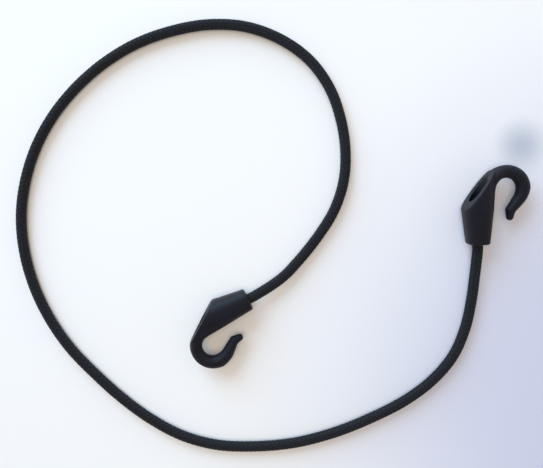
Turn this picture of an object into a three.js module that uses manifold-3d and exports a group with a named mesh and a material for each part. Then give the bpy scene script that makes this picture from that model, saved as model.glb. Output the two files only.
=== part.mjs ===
// Elastic tie-down cord: a braided textile cover over a bundle of rubber strands, with an open moulded hook
// held on each end by a crimped steel ring. Millimetres, +Z up. It lies in a loose loop on the plane z = 0.
import * as THREE from 'three';
import { mergeVertices } from 'three/addons/utils/BufferGeometryUtils.js';
import Module from 'manifold-3d';

const wasm = await Module();
wasm.setup();
const degrees = THREE.MathUtils.degToRad;
const { lerp, smoothstep } = THREE.MathUtils;

// Cord
const CORD_DIAMETER = 6;
const COVER_WALL = 0.75;
const STRANDS_ROUND_MIDDLE = 6;
const CORD_SIDES = 10;
const STRAND_SIDES = 6;
const CORD_STEPS = 84;
const CORD_DIVISIONS = 1000;

// Air left between pieces that touch, and how close two points are taken as one
const CLEARANCE = 0.3;
const WELD = 1e-5;

// Crimped ring near each end of the cord, and the tail of cord past it
const RING_WALL = 1;
const RING_LENGTH = 5;
const RING_SEAM = 0.8;
const RING_SIDES = 20;
const TAIL_LENGTH = 3;

// Hook socket. Its walls are measured at the narrow end, where the cord comes out.
const BACK_WALL = 2.9;
const ARM_SIDE_WALL = 2.6;
const FLANK_WALL = 3.35;
const BACK_FLARE = degrees(8.1);
const ARM_SIDE_FLARE = degrees(5.4);
const FLANK_FLARE = degrees(6.2);
const BACK_FULLNESS = 2.6;
const ARM_SIDE_FULLNESS = 3.6;
const EYE_FULLNESS = 1.9;
const OVAL_STEPS = 9;
const END_CHAMFER = 0.4;
const THROAT_DEPTH = 10.5;
const THROAT_LEAD_IN = 0.6;
const POCKET_CLEARANCE = 0.5;
const POCKET_SIDES = 28;
const OVERCUT = 1;
const LIP_HEIGHT = 18.7;
const MOUTH_CUT = 0.8;
const MOUTH_BEVEL = 0.4;
const SHOULDER_OVERRUN = 3;
const SHOULDER_FULLNESS = 5;
const SHOULDER_STEPS = 8;

// Hook arm, curled round the eye
const EYE_DIAMETER = 11.7;
const EYE_HEIGHT = 30;
const CROWN_WIDTH = 7.1;
const BEND_WIDTH = 8;
const ROOT_THICKNESS = 12;
const ARM_THICKNESS = 8;
const OPENING_RADIUS = 8.7;
const OPENING_TURN = degrees(32);
const SHANK_LENGTH = 7.3;
const SHANK_START_WIDTH = 6.9;
const SHANK_END_WIDTH = 5.7;
const TIP_WIDTH = 4.2;
const TIP_LENGTH = 5.5;
const TIP_TURN = degrees(31);
const TIP_DOME = [0, 0.25, 0.5, 0.75, 0.93];
const ARM_SIDES = 12;
const ARM_STEP = degrees(15);
const ARM_START = degrees(-82.5);

// Where each hook lies: the middle of its narrow end, the way its mouth points, which flank is uppermost, and
// how far it leans towards its arm
const HOOK_A = { x: -61.1, y: -17.9, heading: degrees(206.4), upper: 1 };
const HOOK_B = { x: 67, y: 14.5, heading: degrees(92), upper: -1 };
const LEAN = degrees(4.2);

// How far the cord runs straight out of a hook before it follows its route over the table from hook A to
// hook B. Each point of the route has its x, its y and the height of the cord's underside.
const STRAIGHT_RUN = 4;
const ROUTE = [
  [-42.1, -6, 1.3],
  [-31.6, 5, 0.3],
  [-21.1, 18.5, 0],
  [-12.4, 33, 0],
  [-7.3, 49.5, 0],
  [-6.5, 66, 0],
  [-9.1, 83, 0],
  [-15.3, 100.3, 0],
  [-26.6, 116, 0],
  [-42.6, 127.6, 0],
  [-62.1, 134.8, 0],
  [-83.1, 136.3, 0],
  [-104.1, 133, 0],
  [-124.1, 126.3, 0],
  [-142.1, 116.2, 0],
  [-158.1, 103.3, 0],
  [-172.1, 87.6, 0],
  [-182.6, 70.4, 0],
  [-189.7, 51.5, 0],
  [-193.3, 30.5, 0],
  [-192.3, 9.5, 0],
  [-187.1, -11.5, 0],
  [-178.5, -30.5, 0],
  [-166.6, -48.2, 0],
  [-152.1, -63.5, 0],
  [-136.1, -78, 0],
  [-118.6, -90.7, 0],
  [-100.1, -100.2, 0],
  [-79.6, -105.3, 0],
  [-57.1, -105.7, 0],
  [-34.1, -103, 0],
  [-11.1, -96.4, 0],
  [8.9, -87.8, 0],
  [28.4, -77.2, 0],
  [43.9, -65, 0],
  [55.4, -50.8, 0],
  [61.9, -35, 0],
  [65.1, -18.5, 0.3],
  [66.4, -3, 1.7],
];

const PLASTIC = { color: 0x1d1e21, roughness: 0.42, metalness: 0 };
const TEXTILE = { color: 0x17181a, roughness: 0.9, metalness: 0 };
const RUBBER = { color: 0x5a4a3c, roughness: 0.75, metalness: 0 };
const STEEL = { color: 0x9a9ca0, roughness: 0.35, metalness: 1 };

const solid = (geometry) => {
  const bare = geometry.clone();
  bare.deleteAttribute('normal');
  bare.deleteAttribute('uv');
  const shape = mergeVertices(bare, WELD);
  const mesh = new wasm.Mesh({
    numProp: 3,
    vertProperties: new Float32Array(shape.attributes.position.array),
    triVerts: new Uint32Array(shape.index.array),
  });
  return new wasm.Manifold(mesh);
};

const geometryOf = (manifold) => {
  const { vertProperties, triVerts } = manifold.getMesh();
  const geometry = new THREE.BufferGeometry();
  geometry.setAttribute('position', new THREE.BufferAttribute(new Float32Array(vertProperties), 3));
  return geometry.setIndex(new THREE.BufferAttribute(new Uint32Array(triVerts), 1));
};

// A closed skin over rings of equally many points, each ring anticlockwise about the way the rings run
const loft = (rings) => {
  const count = rings[0].length;
  const middle = (ring) => ring.reduce((sum, p) => sum.add(p), new THREE.Vector3()).divideScalar(count);
  const points = [...rings.flat(), middle(rings[0]), middle(rings.at(-1))];
  const first = points.length - 2;
  const last = points.length - 1;
  const top = (rings.length - 1) * count;
  const index = [];
  for (let j = 0; j < count; j++) {
    const k = (j + 1) % count;
    for (let i = 0; i < top; i += count) {
      index.push(i + j, i + k, i + count + k, i + j, i + count + k, i + count + j);
    }
    index.push(first, k, j, last, top + j, top + k);
  }
  return new THREE.BufferGeometry().setFromPoints(points).setIndex(index);
};

// The hook's own frame: x runs up the socket's axis from the narrow end, y goes towards the arm, and z goes
// across the plane in which the arm is curled.
const throatRadius = CORD_DIAMETER / 2 + CLEARANCE;
const ringRadius = throatRadius + RING_WALL;
const pocketRadius = ringRadius + POCKET_CLEARANCE;
const backAt = (height) => -throatRadius - BACK_WALL - height * Math.tan(BACK_FLARE);
const armSideAt = (height) => throatRadius + ARM_SIDE_WALL + height * Math.tan(ARM_SIDE_FLARE);
const eyeRadius = EYE_DIAMETER / 2;
const eye = new THREE.Vector2(EYE_HEIGHT, armSideAt(EYE_HEIGHT) + eyeRadius / Math.cos(ARM_SIDE_FLARE));
const crownRadius = eyeRadius + CROWN_WIDTH;
const mouthReach = crownRadius - MOUTH_CUT;

// The mouth slants from the lip to the arm's crown, into which it cuts a flat.
const lip = new THREE.Vector2(LIP_HEIGHT, backAt(LIP_HEIGHT));
const lipToEye = eye.clone().sub(lip);
const mouthAngle = lipToEye.angle() - Math.asin(mouthReach / lipToEye.length());
const mouthLength = Math.sqrt(lipToEye.lengthSq() - mouthReach ** 2);
const alongMouth = new THREE.Vector3(Math.cos(mouthAngle), Math.sin(mouthAngle), 0);
const intoMouth = new THREE.Vector3(-alongMouth.y, alongMouth.x, 0);
const mouthPlace = new THREE.Matrix4()
  .makeBasis(alongMouth, new THREE.Vector3(0, 0, -1), intoMouth)
  .setPosition(lip.x, lip.y, 0);
const shoulderTop = lip.x + mouthLength * alongMouth.x + SHOULDER_OVERRUN;

// The flanks flare up to the lip, stay full along the mouth and round off to the arm's thickness at its crown.
const flankAt = (height) => {
  const flared = throatRadius + FLANK_WALL + Math.min(height, LIP_HEIGHT) * Math.tan(FLANK_FLARE);
  const rise = Math.max(0, height - LIP_HEIGHT) / (shoulderTop - LIP_HEIGHT);
  return lerp(ARM_THICKNESS / 2, flared, (1 - rise ** SHOULDER_FULLNESS) ** (1 / SHOULDER_FULLNESS));
};

// One level of the socket is an oval of four quarters. They are fullest at the narrow end and at the back.
const ovalPoint = (reach, rise, fullness, share) => {
  const angle = share * (Math.PI / 2);
  return [reach * Math.sin(angle) ** (2 / fullness), rise * Math.cos(angle) ** (2 / fullness)];
};
const socketLevel = (height, inset = 0) => {
  const flank = flankAt(height) - inset;
  const armSide = armSideAt(height) - inset;
  const back = backAt(height) + inset;
  const armFullness = lerp(ARM_SIDE_FULLNESS, EYE_FULLNESS, Math.min(1, height / EYE_HEIGHT));
  const upperHalf = [];
  for (let k = OVAL_STEPS - 1; k > 0; k--) upperHalf.push(ovalPoint(armSide, flank, armFullness, k / OVAL_STEPS));
  for (let k = 0; k < OVAL_STEPS; k++) upperHalf.push(ovalPoint(back, flank, BACK_FULLNESS, k / OVAL_STEPS));
  const lowerHalf = upperHalf.map(([across, up]) => [across, -up]).reverse();
  const outline = [[armSide, 0], ...upperHalf, [back, 0], ...lowerHalf];
  return outline.map(([across, up]) => new THREE.Vector3(height, across, up));
};

const socketLevels = () => {
  const levels = [socketLevel(0, END_CHAMFER), socketLevel(END_CHAMFER)];
  for (let k = 0; k <= SHOULDER_STEPS; k++) {
    const rise = Math.sin((k / SHOULDER_STEPS) * (Math.PI / 2)) ** (2 / SHOULDER_FULLNESS);
    levels.push(socketLevel(lerp(LIP_HEIGHT, shoulderTop, rise)));
  }
  return levels;
};

// Everything on the arm's side of the slanted mouth
const underMouth = () => {
  const size = 2 * (EYE_HEIGHT + crownRadius);
  const block = new THREE.BoxGeometry(size, size, size).translate(0, 0, size / 2);
  return solid(block.applyMatrix4(mouthPlace));
};

// The throat that the cord runs through and the wider pocket that holds its crimped end
const cordWay = () => {
  const top = EYE_HEIGHT + crownRadius;
  const profile = [
    [0, -OVERCUT],
    [throatRadius + THROAT_LEAD_IN + OVERCUT, -OVERCUT],
    [throatRadius, THROAT_LEAD_IN],
    [throatRadius, THROAT_DEPTH],
    [pocketRadius, THROAT_DEPTH],
    [pocketRadius, top],
    [0, top],
  ];
  const way = new THREE.LatheGeometry(profile.map((p) => new THREE.Vector2(...p)), POCKET_SIDES);
  return solid(way.rotateZ(-Math.PI / 2));
};

// The bevelled rim where the pocket opens in the slanted mouth
const mouthRim = () => {
  const stretch = 1 / Math.sin(mouthAngle);
  const wide = pocketRadius + 2 * MOUTH_BEVEL;
  const rim = new THREE.CylinderGeometry(wide, pocketRadius, 2 * MOUTH_BEVEL, POCKET_SIDES);
  rim.rotateX(-Math.PI / 2).scale(stretch, 1, 1);
  rim.translate(-lip.y / Math.sin(mouthAngle), 0, 0);
  return solid(rim.applyMatrix4(mouthPlace));
};

// One section of the arm: its middle, the way it runs, and its width and thickness there
const armSection = ({ middle, run, width, thickness }) => {
  const outwards = new THREE.Vector2(Math.sin(run), -Math.cos(run));
  const round = 1 / Math.cos(Math.PI / ARM_SIDES);
  return Array.from({ length: ARM_SIDES }, (_, k) => {
    const angle = ((k + 0.5) / ARM_SIDES) * 2 * Math.PI;
    const p = outwards.clone().multiplyScalar((width / 2) * round * Math.cos(angle)).add(middle);
    return new THREE.Vector3(p.x, p.y, (-thickness / 2) * round * Math.sin(angle));
  });
};

// A section that touches a circle round the given centre from outside
const bendSection = (centre, radius, angle, width, thickness) => ({
  middle: new THREE.Vector2(radius + width / 2, 0).rotateAround(new THREE.Vector2(), angle).add(centre),
  run: angle + Math.PI / 2,
  width,
  thickness,
});

const armRings = () => {
  const thicknessFor = (width) => (ARM_THICKNESS * width) / BEND_WIDTH;
  const rootHeight = EYE_HEIGHT - CROWN_WIDTH;
  const rootMiddle = armSideAt(rootHeight) - END_CHAMFER - CROWN_WIDTH / 2;
  const sections = [
    { middle: new THREE.Vector2(rootHeight, rootMiddle), run: 0, width: CROWN_WIDTH, thickness: ARM_THICKNESS },
  ];
  for (let angle = ARM_START; angle < Math.PI / 2; angle += ARM_STEP) {
    const atRoot = smoothstep(-angle, 0, Math.PI / 2 - mouthAngle);
    const atBend = Math.max(0, angle) / (Math.PI / 2);
    const width = lerp(CROWN_WIDTH, BEND_WIDTH, atBend);
    sections.push(bendSection(eye, eyeRadius, angle, width, lerp(ARM_THICKNESS, ROOT_THICKNESS, atRoot)));
  }
  const opening = eye.clone().sub(new THREE.Vector2(0, OPENING_RADIUS - eyeRadius));
  for (const share of [0, 0.5, 1]) {
    const width = lerp(BEND_WIDTH, SHANK_START_WIDTH, share);
    const angle = Math.PI / 2 + share * OPENING_TURN;
    sections.push(bendSection(opening, OPENING_RADIUS, angle, width, thicknessFor(width)));
  }
  const shank = sections.at(-1);
  const inwards = new THREE.Vector2(-Math.sin(shank.run), Math.cos(shank.run));
  const inner = shank.middle.clone().addScaledVector(inwards, SHANK_START_WIDTH / 2);
  const down = new THREE.Vector2(Math.cos(shank.run), Math.sin(shank.run));
  const knee = inner.addScaledVector(down, SHANK_LENGTH).addScaledVector(inwards, -SHANK_END_WIDTH / 2);
  sections.push({
    middle: knee,
    run: shank.run - TIP_TURN / 2,
    width: SHANK_END_WIDTH,
    thickness: thicknessFor(SHANK_END_WIDTH),
  });
  const tipRun = shank.run - TIP_TURN;
  const tipWay = new THREE.Vector2(Math.cos(tipRun), Math.sin(tipRun));
  const domeStart = TIP_LENGTH - TIP_WIDTH / 2;
  for (const share of TIP_DOME) {
    const width = TIP_WIDTH * Math.sqrt(1 - share ** 2);
    const reach = domeStart + (share * TIP_WIDTH) / 2;
    const middle = knee.clone().addScaledVector(tipWay, reach);
    sections.push({ middle, run: tipRun, width, thickness: width });
  }
  return sections.map(armSection);
};

const makeHook = () => {
  const body = solid(loft(socketLevels())).add(solid(loft(armRings()))).intersect(underMouth());
  return geometryOf(body.subtract(cordWay()).subtract(mouthRim()));
};

// A hook lies on its lower flank, which pitches it forwards, and leans towards its arm.
const hookShape = makeHook();
const layHook = ({ x, y, heading, upper }) => {
  const up = new THREE.Vector3(Math.tan(FLANK_FLARE), -Math.tan(LEAN), upper).normalize();
  const ahead = new THREE.Vector3(1, 0, 0).projectOnPlane(up).normalize();
  const lying = new THREE.Matrix4().makeBasis(ahead, up.clone().cross(ahead), up).transpose();
  const placed = hookShape.clone().applyMatrix4(lying);
  const lowest = new THREE.Box3().setFromBufferAttribute(placed.attributes.position).min.z;
  return new THREE.Matrix4().makeRotationZ(heading).multiply(lying).setPosition(x, y, -lowest);
};

// The crimped ring: a band bent round the cord, with a seam where its ends meet
const makeRing = () => {
  const seamOutside = Math.asin(RING_SEAM / 2 / ringRadius);
  const seamInside = Math.asin(RING_SEAM / 2 / throatRadius);
  const band = new THREE.Shape()
    .absarc(0, 0, ringRadius, seamOutside, 2 * Math.PI - seamOutside, false)
    .absarc(0, 0, throatRadius, 2 * Math.PI - seamInside, seamInside, true);
  const ring = new THREE.ExtrudeGeometry(band, {
    depth: RING_LENGTH,
    bevelEnabled: false,
    curveSegments: RING_SIDES / 2,
  });
  return ring.rotateY(Math.PI / 2).translate(THROAT_DEPTH + CLEARANCE, 0, 0);
};

// The cord's middle line: straight out of one throat, over the table, and straight into the other throat
const placeA = layHook(HOOK_A);
const placeB = layHook(HOOK_B);
const tailEnd = THROAT_DEPTH + CLEARANCE + RING_LENGTH + TAIL_LENGTH;
const throatLine = (place) =>
  [tailEnd, THROAT_DEPTH, 0, -STRAIGHT_RUN].map((height) => new THREE.Vector3(height, 0, 0).applyMatrix4(place));
const tableLine = ROUTE.map(([x, y, underside]) => new THREE.Vector3(x, y, underside + CORD_DIAMETER / 2));
const cordLine = new THREE.CatmullRomCurve3([
  ...throatLine(placeA),
  ...tableLine,
  ...throatLine(placeB).reverse(),
]);
cordLine.arcLengthDivisions = CORD_DIVISIONS;

const polygon = (radius, sides, middle = new THREE.Vector2()) =>
  Array.from({ length: sides }, (_, k) => {
    const angle = ((k + 0.5) / sides) * 2 * Math.PI;
    return new THREE.Vector2(Math.cos(angle), Math.sin(angle)).multiplyScalar(radius).add(middle);
  });
const alongCord = (section) =>
  new THREE.ExtrudeGeometry(section, { steps: CORD_STEPS, extrudePath: cordLine });

const makeCover = () => {
  const section = new THREE.Shape(polygon(CORD_DIAMETER / 2, CORD_SIDES));
  section.holes.push(new THREE.Path(polygon(CORD_DIAMETER / 2 - COVER_WALL, CORD_SIDES)));
  return alongCord(section);
};

// The strands fill the cover: one in the middle and the rest in a ring round it.
const coreRadius = (CORD_DIAMETER / 2 - COVER_WALL) * Math.cos(Math.PI / CORD_SIDES) - CLEARANCE;
const strandRadius = (coreRadius - CLEARANCE) / 3;
const strandMiddles = () => {
  const reach = 2 * strandRadius + CLEARANCE;
  return [new THREE.Vector2(), ...polygon(reach, STRANDS_ROUND_MIDDLE)];
};

const named = (name, geometry, finish) => {
  const mesh = new THREE.Mesh(geometry, new THREE.MeshStandardMaterial(finish));
  mesh.name = name;
  return mesh;
};

const cordEnd = (letter, place) => {
  const end = new THREE.Group();
  end.add(named(`hook_${letter}`, hookShape.clone(), PLASTIC), named(`crimp_ring_${letter}`, makeRing(), STEEL));
  end.applyMatrix4(place);
  return end;
};

const tieDown = new THREE.Group();
tieDown.add(cordEnd('a', placeA), cordEnd('b', placeB), named('braided_cover', makeCover(), TEXTILE));
strandMiddles().forEach((middle, k) => {
  const section = new THREE.Shape(polygon(strandRadius, STRAND_SIDES, middle));
  tieDown.add(named(`core_strand_${k + 1}`, alongCord(section), RUBBER));
});

export default tieDown;
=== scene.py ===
# Elastic tie-down cord with an open moulded hook on each end, lying in a loose loop on a pale table.
import math

import bpy
import numpy as np
from mathutils import Matrix, Vector


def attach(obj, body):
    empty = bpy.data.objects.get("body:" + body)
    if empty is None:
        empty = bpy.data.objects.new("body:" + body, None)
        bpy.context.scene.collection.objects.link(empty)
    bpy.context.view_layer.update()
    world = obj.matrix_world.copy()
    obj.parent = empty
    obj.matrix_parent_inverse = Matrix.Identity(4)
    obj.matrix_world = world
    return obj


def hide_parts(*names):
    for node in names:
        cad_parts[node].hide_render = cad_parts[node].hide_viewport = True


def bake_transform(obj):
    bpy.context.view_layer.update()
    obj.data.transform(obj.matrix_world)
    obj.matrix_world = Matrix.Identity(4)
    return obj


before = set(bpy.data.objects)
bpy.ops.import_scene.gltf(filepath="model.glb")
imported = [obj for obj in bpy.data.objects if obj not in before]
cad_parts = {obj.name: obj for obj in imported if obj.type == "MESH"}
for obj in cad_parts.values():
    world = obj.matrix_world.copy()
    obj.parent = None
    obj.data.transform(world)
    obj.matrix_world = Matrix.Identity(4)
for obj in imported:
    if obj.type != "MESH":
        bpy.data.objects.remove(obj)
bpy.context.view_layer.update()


# Core of the cord: rubber strands that lie side by side and give the cord its pull.
# Natural rubber, tan and dusted with talc, cut off square with the cover at both ends.
# They follow the cord's middle line out of one hook's throat, over the table and into the other throat.
CORD_RADIUS = 0.003
COVER_WALL = 0.00075
CLEARANCE = 0.0003
THROAT_RADIUS = CORD_RADIUS + CLEARANCE
THROAT_DEPTH = 0.0105
RING_LENGTH = 0.005
TAIL_LENGTH = 0.003
STRAIGHT_RUN = 0.004
REST_HEIGHT = 0.006699
FLANK_FLARE = math.radians(6.2)
LEAN = math.radians(4.2)
HOOK_A_SPOT = (-0.0611, -0.0179, REST_HEIGHT)
HOOK_A_HEADING = math.radians(206.4)
HOOK_B_SPOT = (0.067, 0.0145, REST_HEIGHT)
HOOK_B_HEADING = math.radians(92)
FACE_UP = 1
FACE_DOWN = -1
LINE_STEP = 0.0005
POINTS_PER_SPAN = 50
# Places on the table under the cord's middle line, and the height of the cord's underside there.
ROUTE = [
    (-0.0421, -0.0060, 0.0013), (-0.0316, 0.0050, 0.0003), (-0.0211, 0.0185, 0), (-0.0124, 0.0330, 0),
    (-0.0073, 0.0495, 0), (-0.0065, 0.0660, 0), (-0.0091, 0.0830, 0), (-0.0153, 0.1003, 0),
    (-0.0266, 0.1160, 0), (-0.0426, 0.1276, 0), (-0.0621, 0.1348, 0), (-0.0831, 0.1363, 0),
    (-0.1041, 0.1330, 0), (-0.1241, 0.1263, 0), (-0.1421, 0.1162, 0), (-0.1581, 0.1033, 0),
    (-0.1721, 0.0876, 0), (-0.1826, 0.0704, 0), (-0.1897, 0.0515, 0), (-0.1933, 0.0305, 0),
    (-0.1923, 0.0095, 0), (-0.1871, -0.0115, 0), (-0.1785, -0.0305, 0), (-0.1666, -0.0482, 0),
    (-0.1521, -0.0635, 0), (-0.1361, -0.0780, 0), (-0.1186, -0.0907, 0), (-0.1001, -0.1002, 0),
    (-0.0796, -0.1053, 0), (-0.0571, -0.1057, 0), (-0.0341, -0.1030, 0), (-0.0111, -0.0964, 0),
    (0.0089, -0.0878, 0), (0.0284, -0.0772, 0), (0.0439, -0.0650, 0), (0.0554, -0.0508, 0),
    (0.0619, -0.0350, 0), (0.0651, -0.0185, 0.0003), (0.0664, -0.0030, 0.0017),
]


def hook_place(spot, heading, face):
    """Lays a hook on its lower flank, which pitches it forwards, and leans it towards its arm."""
    up = Vector((math.tan(FLANK_FLARE), -math.tan(LEAN), face)).normalized()
    ahead = (Vector((1, 0, 0)) - up * up.x).normalized()
    lying = Matrix((ahead, up.cross(ahead), up))
    return Matrix.Translation(spot) @ (Matrix.Rotation(heading, 3, "Z") @ lying).to_4x4()


def unit(vectors):
    return vectors / np.linalg.norm(vectors, axis=-1, keepdims=True)


def smooth_line(points):
    """Points at even steps on a centripetal spline through the given ones, and how far along each is."""
    points = np.array(points)
    padded = np.vstack([2 * points[0] - points[1], points, 2 * points[-1] - points[-2]])
    gaps = np.sqrt(np.linalg.norm(np.diff(padded, axis=0), axis=1))
    share = np.linspace(0, 1, POINTS_PER_SPAN, endpoint=False)[:, None]
    spans = []
    for k in range(1, len(padded) - 2):
        before, here, after = gaps[k - 1:k + 2]
        p0, p1, p2, p3 = padded[k - 1:k + 3]
        leave = here * ((p1 - p0) / before - (p2 - p0) / (before + here) + (p2 - p1) / here)
        arrive = here * ((p2 - p1) / here - (p3 - p1) / (here + after) + (p3 - p2) / after)
        bend = 3 * (p2 - p1) - 2 * leave - arrive
        twist = 2 * (p1 - p2) + leave + arrive
        spans.append(p1 + leave * share + bend * share ** 2 + twist * share ** 3)
    dense = np.vstack([*spans, points[-1:]])
    reached = np.concatenate([[0], np.cumsum(np.linalg.norm(np.diff(dense, axis=0), axis=1))])
    along = np.linspace(0, reached[-1], round(reached[-1] / LINE_STEP) + 1)
    return along, np.stack([np.interp(along, reached, dense[:, k]) for k in range(3)], axis=1)


place_a = hook_place(HOOK_A_SPOT, HOOK_A_HEADING, FACE_UP)
place_b = hook_place(HOOK_B_SPOT, HOOK_B_HEADING, FACE_DOWN)
tail_end = THROAT_DEPTH + CLEARANCE + RING_LENGTH + TAIL_LENGTH
throat_stops = [tail_end, THROAT_DEPTH, 0, -STRAIGHT_RUN]
out_of_a = [tuple(place_a @ Vector((stop, 0, 0))) for stop in throat_stops]
into_b = [tuple(place_b @ Vector((stop, 0, 0))) for stop in reversed(throat_stops)]
over_table = [(x, y, underside + CORD_RADIUS) for x, y, underside in ROUTE]
along, middle_line = smooth_line([*out_of_a, *over_table, *into_b])
cord_length = along[-1]
ahead = unit(np.gradient(middle_line, axis=0))
leftwards = unit(np.cross((0, 0, 1), ahead))
upwards = np.cross(ahead, leftwards)


def in_cord(distance, left, up):
    """Places in the cord: how far along it, and how far left of and above its middle line."""
    def at(values):
        return np.stack([np.interp(distance, along, values[:, k]) for k in range(3)], axis=-1)
    return at(middle_line) + left[..., None] * at(leftwards) + up[..., None] * at(upwards)


def closed_tubes(name, tubes):
    """One object of closed tubes, from an array of tubes, their rings and the points round each."""
    count, rings, sides, _ = tubes.shape
    index = np.arange(count * rings * sides).reshape(count, rings, sides)
    beside = np.roll(index, -1, axis=2)
    walls = np.stack([index[:, :-1], beside[:, :-1], beside[:, 1:], index[:, 1:]], axis=-1)
    faces = walls.reshape(-1, 4).tolist() + index[:, 0, ::-1].tolist() + index[:, -1].tolist()
    mesh = bpy.data.meshes.new(name)
    mesh.from_pydata(tubes.reshape(-1, 3).tolist(), [], faces)
    mesh.shade_smooth()
    tube = bpy.data.objects.new(name, mesh)
    bpy.context.scene.collection.objects.link(tube)
    return tube


STRANDS_ROUND_MIDDLE = 6
STRAND_SIDES = 12
STRAND_RINGS = 420
strand_radius = (CORD_RADIUS - COVER_WALL - 2 * CLEARANCE) / 3
strand_reach = 2 * strand_radius + CLEARANCE
strand_angles = (np.arange(STRANDS_ROUND_MIDDLE) + 0.5) / STRANDS_ROUND_MIDDLE * 2 * math.pi
strand_left = np.concatenate([[0], strand_reach * np.cos(strand_angles)])[:, None, None]
strand_up = np.concatenate([[0], strand_reach * np.sin(strand_angles)])[:, None, None]
round_strand = np.arange(STRAND_SIDES) / STRAND_SIDES * 2 * math.pi
strand_steps = np.linspace(0, cord_length, STRAND_RINGS)[None, :, None]
strand_sections = np.broadcast_arrays(
    strand_steps,
    strand_left + strand_radius * np.cos(round_strand),
    strand_up + strand_radius * np.sin(round_strand),
)
strands = closed_tubes("rubber_strands", in_cord(*strand_sections))

# The mixing node's sockets for colours share their names with others, so they go by number.
MIX_SHARE = 0
MIX_FIRST = 6
MIX_SECOND = 7
MIX_RESULT = 2


def colour_mix(tree, share):
    """A node that mixes two colours: the first at a share of 0, the second at a share of 1."""
    node = tree.nodes.new("ShaderNodeMix")
    node.data_type = "RGBA"
    tree.links.new(share, node.inputs[MIX_SHARE])
    return node


MOTTLE_DETAIL = 5
MOTTLE_LOWEST = 0.35
MOTTLE_HIGHEST = 0.65
MOTTLE_SOCKETS = [
    ("Scale", "INPUT", "NodeSocketFloat"),
    ("Low", "INPUT", "NodeSocketColor"),
    ("High", "INPUT", "NodeSocketColor"),
    ("Low Roughness", "INPUT", "NodeSocketFloat"),
    ("High Roughness", "INPUT", "NodeSocketFloat"),
    ("Color", "OUTPUT", "NodeSocketColor"),
    ("Roughness", "OUTPUT", "NodeSocketFloat"),
    ("Height", "OUTPUT", "NodeSocketFloat"),
]
mottle = bpy.data.node_groups.new("mottle", "ShaderNodeTree")
for label, way, kind in MOTTLE_SOCKETS:
    mottle.interface.new_socket(label, in_out=way, socket_type=kind)
given = mottle.nodes.new("NodeGroupInput")
result = mottle.nodes.new("NodeGroupOutput")
place_on_piece = mottle.nodes.new("ShaderNodeTexCoord")
cloud = mottle.nodes.new("ShaderNodeTexNoise")
cloud.inputs["Detail"].default_value = MOTTLE_DETAIL
spread = mottle.nodes.new("ShaderNodeMapRange")
spread.inputs["From Min"].default_value = MOTTLE_LOWEST
spread.inputs["From Max"].default_value = MOTTLE_HIGHEST
between = colour_mix(mottle, spread.outputs["Result"])
dullness = mottle.nodes.new("ShaderNodeMapRange")
mottle.links.new(place_on_piece.outputs["Object"], cloud.inputs["Vector"])
mottle.links.new(given.outputs["Scale"], cloud.inputs["Scale"])
mottle.links.new(cloud.outputs["Fac"], spread.inputs["Value"])
mottle.links.new(given.outputs["Low"], between.inputs[MIX_FIRST])
mottle.links.new(given.outputs["High"], between.inputs[MIX_SECOND])
mottle.links.new(between.outputs[MIX_RESULT], result.inputs["Color"])
mottle.links.new(spread.outputs["Result"], dullness.inputs["Value"])
mottle.links.new(given.outputs["Low Roughness"], dullness.inputs["To Min"])
mottle.links.new(given.outputs["High Roughness"], dullness.inputs["To Max"])
mottle.links.new(dullness.outputs["Result"], result.inputs["Roughness"])
mottle.links.new(spread.outputs["Result"], result.inputs["Height"])


def place_mottle(material, scale):
    """Places the mottle in a material, with so many spots to a metre."""
    node = material.node_tree.nodes.new("ShaderNodeGroup")
    node.node_tree = mottle
    node.inputs["Scale"].default_value = scale
    return node


def mottled_finish(name, scale, low, high, roughness):
    """A material and its shader: colour and roughness wander over the piece between two values."""
    material = bpy.data.materials.new(name)
    material.use_nodes = True
    shader = material.node_tree.nodes["Principled BSDF"]
    spots = place_mottle(material, scale)
    spots.inputs["Low"].default_value = (*low, 1)
    spots.inputs["High"].default_value = (*high, 1)
    spots.inputs["Low Roughness"].default_value = roughness[0]
    spots.inputs["High Roughness"].default_value = roughness[1]
    material.node_tree.links.new(spots.outputs["Color"], shader.inputs["Base Color"])
    material.node_tree.links.new(spots.outputs["Roughness"], shader.inputs["Roughness"])
    return material, shader


rubber, _ = mottled_finish(
    "talced_rubber",
    scale=2500,
    low=(0.11, 0.065, 0.035),
    high=(0.26, 0.2, 0.15),
    roughness=(0.7, 0.9),
)
strands.data.materials.append(rubber)
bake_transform(strands)
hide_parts(*[f"core_strand_{k + 1}" for k in range(STRANDS_ROUND_MIDDLE + 1)])


# Braided cover of the cord: flat bundles of yarn wound both ways round the core, two over and two under.
# Black polyester yarn with a dull sheen, worked round the core while it is stretched.
# It goes into both hooks and is held there by the crimped rings.
YARNS_EACH_WAY = 8
LAY_LENGTH = 0.021
YARN_WIDTH = 0.00185
YARN_THICKNESS = 0.00038
# Corners round a yarn's section, in halves of its width and thickness.
YARN_PROFILE = np.array([(1, -0.4), (0.55, 0.8), (-0.55, 0.8), (-1, -0.4)])
RINGS_PER_LAY = 39
WEAVE_LIFT = 0.45
CROSSINGS_PER_WAVE = 4
FLOAT_FLATNESS = 2.2
FILAMENT_TURN = 14
FILAMENT_RELIEF = 0.5
RELIEF_DEPTH = 0.0001

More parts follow.
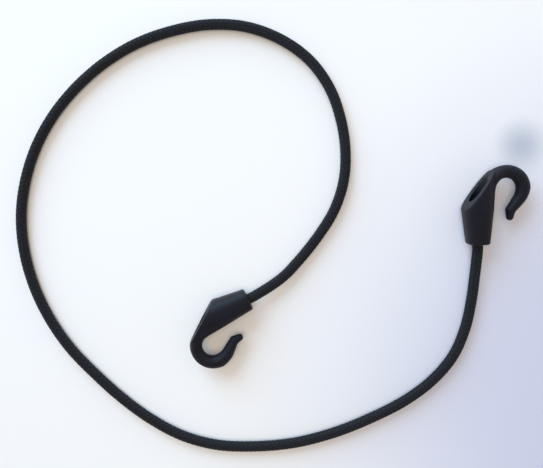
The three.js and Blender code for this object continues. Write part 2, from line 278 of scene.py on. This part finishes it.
yarn_lift = YARN_THICKNESS * WEAVE_LIFT
yarn_top = YARN_PROFILE[:, 1].max() * YARN_THICKNESS / 2
yarn_radius = CORD_RADIUS - yarn_lift - yarn_top
lay_angle = math.atan2(2 * math.pi * yarn_radius, LAY_LENGTH)
yarn_steps = np.linspace(0, cord_length, round(cord_length / LAY_LENGTH * RINGS_PER_LAY))[:, None]
yarns = []
for way in (1, -1):
    for yarn in range(YARNS_EACH_WAY):
        crossings = 2 * yarn + way * 2 * YARNS_EACH_WAY * yarn_steps / LAY_LENGTH
        wave = np.tanh(FLOAT_FLATNESS * np.cos((crossings - 0.5) * 2 * math.pi / CROSSINGS_PER_WAVE))
        across = YARN_PROFILE[:, 0] * YARN_WIDTH / 2
        radius = yarn_radius + way * yarn_lift * wave + YARN_PROFILE[:, 1] * YARN_THICKNESS / 2
        angle = 2 * math.pi * (yarn / YARNS_EACH_WAY + way * yarn_steps / LAY_LENGTH)
        angle = angle - across * math.cos(lay_angle) / yarn_radius
        distance = yarn_steps + way * across * math.sin(lay_angle)
        yarns.append(in_cord(distance, radius * np.cos(angle), radius * np.sin(angle)))
cover = closed_tubes("braided_yarns", np.array(yarns))
across_yarn = cover.data.attributes.new("across_yarn", "FLOAT", "POINT")
yarn_rings = len(cover.data.vertices) // len(YARN_PROFILE)
across_yarn.data.foreach_set("value", np.tile(YARN_PROFILE[:, 0], yarn_rings))


def add_relief(material, height, strength):
    """Lets a height over the surface of a material tilt the way its light falls."""
    nodes, links = material.node_tree.nodes, material.node_tree.links
    bump = nodes.new("ShaderNodeBump")
    bump.inputs["Strength"].default_value = strength
    bump.inputs["Distance"].default_value = RELIEF_DEPTH
    links.new(height, bump.inputs["Height"])
    links.new(bump.outputs["Normal"], nodes["Principled BSDF"].inputs["Normal"])


braid, shader = mottled_finish(
    "black_braid",
    scale=1800,
    low=(0.0092, 0.0092, 0.0112),
    high=(0.0165, 0.0166, 0.0195),
    roughness=(0.54, 0.66),
)
shader.inputs["Specular IOR Level"].default_value = 0.2
shader.inputs["Sheen Weight"].default_value = 0.02
shader.inputs["Sheen Roughness"].default_value = 0.5
nodes, links = braid.node_tree.nodes, braid.node_tree.links
side_of_yarn = nodes.new("ShaderNodeAttribute")
side_of_yarn.attribute_name = "across_yarn"
filaments = nodes.new("ShaderNodeMath")
filaments.operation = "MULTIPLY"
filaments.inputs[1].default_value = FILAMENT_TURN
links.new(side_of_yarn.outputs["Fac"], filaments.inputs[0])
ridges = nodes.new("ShaderNodeMath")
ridges.operation = "SINE"
links.new(filaments.outputs["Value"], ridges.inputs[0])
add_relief(braid, ridges.outputs["Value"], FILAMENT_RELIEF)
cover.data.materials.append(braid)
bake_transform(cover)
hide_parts("braided_cover")


# Crimped rings: a band of steel strip bent round each end of the cord and pressed shut.
# Zinc-plated mild steel with a dull brushed face, pinched at three places by the press.
# Each sits against the floor of its hook's pocket and stops the cord from pulling through.
RING_WALL = 0.001
RING_SEAM = 0.0008
RING_STEPS = 96
RING_EDGE = 0.00022
RING_EDGE_POINTS = 4
PINCHES = 3
PINCH_DEPTH = 0.00018
PINCH_SHARPNESS = 4

ring_radius = THROAT_RADIUS + RING_WALL
edge_turn = np.linspace(0, math.pi / 2, RING_EDGE_POINTS)
strip = []
for quarter, (far, out) in enumerate([(1, 1), (0, 1), (0, 0), (1, 0)]):
    turn = edge_turn + quarter * math.pi / 2
    strip.append(np.stack([
        far * (RING_LENGTH - 2 * RING_EDGE) + RING_EDGE + RING_EDGE * np.cos(turn),
        THROAT_RADIUS + RING_EDGE + out * (RING_WALL - 2 * RING_EDGE) + RING_EDGE * np.sin(turn),
    ], axis=-1))
strip = np.vstack(strip)
seam_turn = math.asin(RING_SEAM / 2 / THROAT_RADIUS)
turns = np.linspace(seam_turn, 2 * math.pi - seam_turn, RING_STEPS)[:, None]
pinch = PINCH_DEPTH * np.clip(np.cos(PINCHES * turns + math.pi), 0, 1) ** PINCH_SHARPNESS
ring_reach = strip[:, 1] - pinch
band = np.stack([
    np.broadcast_to(THROAT_DEPTH + CLEARANCE + strip[:, 0], ring_reach.shape),
    ring_reach * np.cos(turns),
    ring_reach * np.sin(turns),
], axis=-1)

steel, shader = mottled_finish(
    "zinc_plated_steel",
    scale=3500,
    low=(0.36, 0.36, 0.37),
    high=(0.6, 0.6, 0.61),
    roughness=(0.46, 0.3),
)
shader.inputs["Metallic"].default_value = 1

for letter, place, body in (("a", place_a, "cord"), ("b", place_b, "end_b")):
    ring = closed_tubes(f"crimped_ring_{letter}", band[None])
    ring.data.transform(place)
    ring.data.materials.append(steel)
    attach(ring, body)
    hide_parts(f"crimp_ring_{letter}")


# Hooks: one open hook on each end, both from the same mould, with a tapered socket and a curled arm.
# Black nylon with a satin moulded skin, softly rounded where the mould's faces meet.
# The cord comes in at the narrow end, and its ring is drawn into the pocket behind the slanted mouth.
MILLIMETRE = 0.001
THROAT = THROAT_RADIUS / MILLIMETRE
THROAT_LEAD_IN = 0.6
POCKET_FLOOR = THROAT_DEPTH / MILLIMETRE
RING_PLAY = 0.5
POCKET_RADIUS = ring_radius / MILLIMETRE + RING_PLAY
BACK_WALL = 2.9
BACK_FLARE = math.radians(8.1)
BACK_FULLNESS = 2.6
ARM_SIDE_WALL = 2.6
ARM_SIDE_FLARE = math.radians(5.4)
ARM_SIDE_FULLNESS = 3.6
EYE_FULLNESS = 1.9
FLANK_WALL = 3.35
END_CHAMFER = 0.4
LIP_HEIGHT = 18.7
MOUTH_CUT = 0.8
MOUTH_BEVEL = 0.4
SHOULDER_OVERRUN = 3
SHOULDER_FULLNESS = 5
EYE_RADIUS = 5.85
EYE_HEIGHT = 30
CROWN_WIDTH = 7.1
BEND_WIDTH = 8
ROOT_THICKNESS = 12
ARM_THICKNESS = 8
OPENING_RADIUS = 8.7
OPENING_TURN = math.radians(32)
SHANK_LENGTH = 7.3
SHANK_START_WIDTH = 6.9
SHANK_END_WIDTH = 5.7
TIP_WIDTH = 4.2
TIP_LENGTH = 5.5
TIP_TURN = math.radians(31)
CUT_OVERRUN = 1
QUARTER_POINTS = 29
SHOULDER_LEVELS = 25
ARM_SIDES = 40
TURNED_SIDES = 96
BEND_TURNS = np.radians(np.arange(-82.5, 90, 3))
OPENING_SHARES = np.linspace(0, 1, 9)
TIP_TURNS = np.radians(np.arange(0, 90, 9))
SKIN_STEP = 0.23
SKIN_SOFTENING = 22
GRAIN_SCALE = 6000
GRAIN_RELIEF = 0.12


def back_at(height):
    return -THROAT - BACK_WALL - height * math.tan(BACK_FLARE)


def arm_side_at(height):
    return THROAT + ARM_SIDE_WALL + height * math.tan(ARM_SIDE_FLARE)


def part_way(start, end, share):
    return start + (end - start) * share


eye = np.array([EYE_HEIGHT, arm_side_at(EYE_HEIGHT) + EYE_RADIUS / math.cos(ARM_SIDE_FLARE)])
crown_radius = EYE_RADIUS + CROWN_WIDTH
mouth_reach = crown_radius - MOUTH_CUT
lip = np.array([LIP_HEIGHT, back_at(LIP_HEIGHT)])
lip_to_eye = eye - lip
eye_angle = math.atan2(lip_to_eye[1], lip_to_eye[0])
mouth_angle = eye_angle - math.asin(mouth_reach / np.linalg.norm(lip_to_eye))
mouth_length = math.sqrt(lip_to_eye @ lip_to_eye - mouth_reach ** 2)
shoulder_top = lip[0] + mouth_length * math.cos(mouth_angle) + SHOULDER_OVERRUN


def socket_level(height, inset=0):
    """One level of the socket in millimetres: x up it, y towards the arm, z across the arm's plane."""
    rise = max(0, height - LIP_HEIGHT) / (shoulder_top - LIP_HEIGHT)
    closing = max(0, 1 - rise ** SHOULDER_FULLNESS) ** (1 / SHOULDER_FULLNESS)
    flared = THROAT + FLANK_WALL + min(height, LIP_HEIGHT) * math.tan(FLANK_FLARE)
    flank = part_way(ARM_THICKNESS / 2, flared, closing) - inset
    arm_fullness = part_way(ARM_SIDE_FULLNESS, EYE_FULLNESS, min(1, height / EYE_HEIGHT))
    arm_half = (arm_side_at(height) - inset, arm_fullness)
    back_half = (back_at(height) + inset, BACK_FULLNESS)
    turn = np.linspace(0, math.pi / 2, QUARTER_POINTS)
    quarters = []
    for reach, fullness in (arm_half, back_half):
        side = reach * np.sin(turn) ** (2 / fullness)
        across = flank * np.clip(np.cos(turn), 0, 1) ** (2 / fullness)
        quarters.append(np.stack([np.full_like(side, height), side, across], axis=-1))
    upper_half = np.vstack([quarters[0][:0:-1], quarters[1]])
    return np.vstack([upper_half, upper_half[-2:0:-1] * (1, 1, -1)])


def arm_section(middle, run, width, thickness):
    """One round section of the arm, square to the way it runs."""
    turn = (np.arange(ARM_SIDES) + 0.5) / ARM_SIDES * 2 * math.pi
    out = width / 2 * np.cos(turn)
    return np.stack([
        middle[0] + out * math.sin(run),
        middle[1] - out * math.cos(run),
        -thickness / 2 * np.sin(turn),
    ], axis=-1)


def bend_section(centre, radius, angle, width, thickness):
    """A section of the arm that touches a circle from outside."""
    reach = radius + width / 2
    middle = centre + reach * np.array([math.cos(angle), math.sin(angle)])
    return arm_section(middle, angle + math.pi / 2, width, thickness)


def arm_sections():
    """The arm from inside the socket round the eye, out along the shank and on to the turned tip."""
    root_height = EYE_HEIGHT - CROWN_WIDTH
    root_middle = (root_height, arm_side_at(root_height) - END_CHAMFER - CROWN_WIDTH / 2)
    sections = [arm_section(root_middle, 0, CROWN_WIDTH, ARM_THICKNESS)]
    for angle in BEND_TURNS:
        to_root = np.clip(-angle / (math.pi / 2 - mouth_angle), 0, 1)
        to_root = to_root * to_root * (3 - 2 * to_root)
        width = part_way(CROWN_WIDTH, BEND_WIDTH, max(0, angle) / (math.pi / 2))
        thickness = part_way(ARM_THICKNESS, ROOT_THICKNESS, to_root)
        sections.append(bend_section(eye, EYE_RADIUS, angle, width, thickness))
    opening = eye - (0, OPENING_RADIUS - EYE_RADIUS)
    for share in OPENING_SHARES:
        angle = math.pi / 2 + share * OPENING_TURN
        width = part_way(BEND_WIDTH, SHANK_START_WIDTH, share)
        thickness = ARM_THICKNESS * width / BEND_WIDTH
        sections.append(bend_section(opening, OPENING_RADIUS, angle, width, thickness))
    run = math.pi + OPENING_TURN
    down = np.array([math.cos(run), math.sin(run)])
    inwards = np.array([-math.sin(run), math.cos(run)])
    inner_start = opening + OPENING_RADIUS * np.array([-math.sin(OPENING_TURN), math.cos(OPENING_TURN)])
    knee = inner_start + down * SHANK_LENGTH - inwards * SHANK_END_WIDTH / 2
    knee_thickness = ARM_THICKNESS * SHANK_END_WIDTH / BEND_WIDTH
    sections.append(arm_section(knee, run - TIP_TURN / 2, SHANK_END_WIDTH, knee_thickness))
    tip_run = run - TIP_TURN
    tip_way = np.array([math.cos(tip_run), math.sin(tip_run)])
    for rise in np.sin(TIP_TURNS):
        width = TIP_WIDTH * math.sqrt(1 - rise ** 2)
        reach = TIP_LENGTH - TIP_WIDTH / 2 + rise * TIP_WIDTH / 2
        sections.append(arm_section(knee + tip_way * reach, tip_run, width, width))
    return np.array(sections)


def turned(name, profile):
    """A closed body turned round the socket's axis from radii and heights."""
    radii, heights = np.array(profile).T[:, :, None]
    turn = np.arange(TURNED_SIDES) / TURNED_SIDES * 2 * math.pi
    body = np.broadcast_arrays(heights, radii * np.cos(turn), radii * np.sin(turn))
    return closed_tubes(name, np.stack(body, axis=-1)[None])


levels = [socket_level(0, END_CHAMFER), socket_level(END_CHAMFER)]
for shoulder_turn in np.linspace(0, math.pi / 2, SHOULDER_LEVELS):
    rise = math.sin(shoulder_turn) ** (2 / SHOULDER_FULLNESS)
    levels.append(socket_level(part_way(LIP_HEIGHT, shoulder_top, rise)))
mould = closed_tubes("hook_mould", np.array(levels)[None])
arm = closed_tubes("hook_arm", arm_sections()[None])
pocket_top = EYE_HEIGHT + crown_radius
cord_way = turned("cord_way", [
    (THROAT + THROAT_LEAD_IN + CUT_OVERRUN, -CUT_OVERRUN),
    (THROAT, THROAT_LEAD_IN),
    (THROAT, POCKET_FLOOR),
    (POCKET_RADIUS, POCKET_FLOOR),
    (POCKET_RADIUS, pocket_top),
])
square_to_mouth = Matrix.Rotation(mouth_angle - math.pi / 2, 4, "Z")
mouth_on_axis = Matrix.Translation((-lip[1] / math.tan(mouth_angle) + lip[0], 0, 0))
mouth_stretch = Matrix.Diagonal((1, 1 / math.sin(mouth_angle), 1, 1))
mouth_rim = turned("mouth_rim", [
    (POCKET_RADIUS, -MOUTH_BEVEL),
    (POCKET_RADIUS + 2 * MOUTH_BEVEL, MOUTH_BEVEL),
])
mouth_rim.data.transform(mouth_on_axis @ square_to_mouth @ mouth_stretch)
above_mouth = turned("above_mouth", [(pocket_top, 0), (pocket_top, pocket_top)])
above_mouth.data.transform(Matrix.Translation((*lip, 0)) @ square_to_mouth)
carving = [
    (arm, "UNION"),
    (above_mouth, "DIFFERENCE"),
    (cord_way, "DIFFERENCE"),
    (mouth_rim, "DIFFERENCE"),
]
for tool, operation in carving:
    cut = mould.modifiers.new(tool.name, "BOOLEAN")
    cut.object = tool
    cut.operation = operation
    cut.solver = "MANIFOLD"
skin = mould.modifiers.new("skin", "REMESH")
skin.mode = "VOXEL"
skin.voxel_size = SKIN_STEP
soften = mould.modifiers.new("soften", "SMOOTH")
soften.iterations = SKIN_SOFTENING
moulded = mould.evaluated_get(bpy.context.evaluated_depsgraph_get())
moulding = bpy.data.meshes.new_from_object(moulded)
moulding.shade_smooth()
for tool in (mould, arm, above_mouth, cord_way, mouth_rim):
    bpy.data.objects.remove(tool)

nylon, shader = mottled_finish(
    "satin_nylon",
    scale=420,
    low=(0.0042, 0.0042, 0.0068),
    high=(0.0062, 0.0062, 0.0104),
    roughness=(0.52, 0.6),
)
shader.inputs["Specular IOR Level"].default_value = 0.34
add_relief(nylon, place_mottle(nylon, GRAIN_SCALE).outputs["Height"], GRAIN_RELIEF)

moulding.materials.clear()
moulding.materials.append(nylon)
for letter, place in (("a", place_a), ("b", place_b)):
    skin_mesh = moulding.copy()
    skin_mesh.transform(place @ Matrix.Scale(MILLIMETRE, 4))
    hook = bpy.data.objects.new(f"moulded_hook_{letter}", skin_mesh)
    bpy.context.scene.collection.objects.link(hook)
    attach(hook, f"hook_{letter}")
    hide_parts(f"hook_{letter}")


# Table: a plain pale surface under the cord, which isn't part of the object.
# Smooth white laminate. Its colour carries painted shade: a broad dim patch on its right side where the
# light falls off, and a small round painted shadow near the edge.
TABLE_HALF = 2
TABLE_TOP = -0.0001
TABLE_CORNERS = [(-1, -1), (1, -1), (1, 1), (-1, 1)]
TABLE_ROUGHNESS = 0.7
WHITE = (0.96, 0.925, 0.89, 1)
# Each painted shade's middle, where it is full, where it ends, and its colour.
PAINTED_SHADES = [
    ((0.17, -0.08, 0), 0.06, 0.25, (0.64, 0.64, 0.76, 1)),
    ((0.0918, 0.0687, 0), 0, 0.019, (0.52, 0.54, 0.6, 1)),
]


def soft_range(tree, value, start, end):
    """How far a value has come on its way from start to end, with a soft beginning and finish."""
    node = tree.nodes.new("ShaderNodeMapRange")
    node.interpolation_type = "SMOOTHSTEP"
    node.inputs["From Min"].default_value = start
    node.inputs["From Max"].default_value = end
    tree.links.new(value, node.inputs["Value"])
    return node.outputs["Result"]


table_mesh = bpy.data.meshes.new("table")
table_points = [(x * TABLE_HALF, y * TABLE_HALF, TABLE_TOP) for x, y in TABLE_CORNERS]
table_mesh.from_pydata(table_points, [], [(0, 1, 2, 3)])
table = bpy.data.objects.new("table", table_mesh)
bpy.context.scene.collection.objects.link(table)
pale = bpy.data.materials.new("pale_table")
pale.use_nodes = True
nodes, links = pale.node_tree.nodes, pale.node_tree.links
shader = nodes["Principled BSDF"]
shader.inputs["Roughness"].default_value = TABLE_ROUGHNESS
on_table = nodes.new("ShaderNodeTexCoord")
under_shade = None
# Painted shade: each patch mixes a darker colour into the table's white, standing in for light fall-off
# and a cast shadow.
for place, inner, outer, colour in PAINTED_SHADES:
    from_middle = nodes.new("ShaderNodeVectorMath")
    from_middle.operation = "DISTANCE"
    from_middle.inputs[1].default_value = place
    links.new(on_table.outputs["Object"], from_middle.inputs[0])
    in_shade = soft_range(pale.node_tree, from_middle.outputs["Value"], outer, inner)
    shaded = colour_mix(pale.node_tree, in_shade)
    shaded.inputs[MIX_FIRST].default_value = WHITE
    shaded.inputs[MIX_SECOND].default_value = colour
    if under_shade is not None:
        links.new(under_shade, shaded.inputs[MIX_FIRST])
    under_shade = shaded.outputs[MIX_RESULT]
links.new(under_shade, shader.inputs["Base Color"])
table_mesh.materials.append(pale)


# Light: a very large cool window to the upper left of the table, a soft warm fill above and a dim room.
# The fill brightens the table in the hooks' eyes, and the glossy mouldings don't mirror it.
# The room is brighter beyond the table than on the near side, and pale along the horizon.
ROOM_NEAR = (0.26, 0.25, 0.28, 1)
ROOM_FAR = (0.5, 0.49, 0.52, 1)
HORIZON = (0.84, 0.85, 0.88, 1)
NEAR_TO_FAR = (-0.5, 0.1)
HORIZON_TO_ROOM = (0.05, 0.35)
# Each lamp's name, place, size, power and colour, and whether the glossy pieces mirror it.
LAMPS = [
    ("window", Vector((-1.18, 1.75, 1.15)), 1.92, 66, (0.46, 0.72, 1), True),
    ("fill", Vector((-0.05, 0.02, 1)), 0.5, 3.5, (1, 0.88, 0.66), False),
]
for name, place, size, power, colour, mirrored in LAMPS:
    light = bpy.data.lights.new(name, "AREA")
    light.size = size
    light.energy = power
    light.color = colour
    holder = bpy.data.objects.new(name, light)
    holder.location = place
    holder.rotation_euler = (-place).to_track_quat("-Z", "Y").to_euler()
    holder.visible_glossy = mirrored
    bpy.context.scene.collection.objects.link(holder)
room = bpy.data.worlds.new("room")
room.use_nodes = True
nodes, links = room.node_tree.nodes, room.node_tree.links
towards = nodes.new("ShaderNodeTexCoord")
direction = nodes.new("ShaderNodeSeparateXYZ")
links.new(towards.outputs["Generated"], direction.inputs["Vector"])
far_share = soft_range(room.node_tree, direction.outputs["Y"], *NEAR_TO_FAR)
room_colour = colour_mix(room.node_tree, far_share)
room_colour.inputs[MIX_FIRST].default_value = ROOM_NEAR
room_colour.inputs[MIX_SECOND].default_value = ROOM_FAR
height_share = soft_range(room.node_tree, direction.outputs["Z"], *HORIZON_TO_ROOM)
whole_room = colour_mix(room.node_tree, height_share)
whole_room.inputs[MIX_FIRST].default_value = HORIZON
links.new(room_colour.outputs[MIX_RESULT], whole_room.inputs[MIX_SECOND])
links.new(whole_room.outputs[MIX_RESULT], nodes["Background"].inputs["Color"])
bpy.context.scene.world = room
bpy.context.scene.view_settings.view_transform = "Standard"


# Camera: almost straight above the middle of the loop, as in the photograph.
# Its place and lens were worked out from the two hooks, which show different sides.
CAMERA_PLACE = Vector((-0.0307, 0.04675, 0.3665))
CAMERA_AIM = Vector((-0.0482, 0.0188, 0))
SENSOR_WIDTH = 36
FOCAL_LENGTH = 42.43
looking = (CAMERA_AIM - CAMERA_PLACE).normalized()
right = looking.cross(Vector((0, 1, 0))).normalized()
above = right.cross(looking)
facing = Matrix((right, above, -looking)).transposed().to_4x4()
lens = bpy.data.cameras.new("camera")
lens.sensor_width = SENSOR_WIDTH
lens.sensor_fit = "HORIZONTAL"
lens.lens = FOCAL_LENGTH
camera = bpy.data.objects.new("camera", lens)
camera.matrix_world = Matrix.Translation(CAMERA_PLACE) @ facing
bpy.context.scene.collection.objects.link(camera)
bpy.context.scene.camera = camera
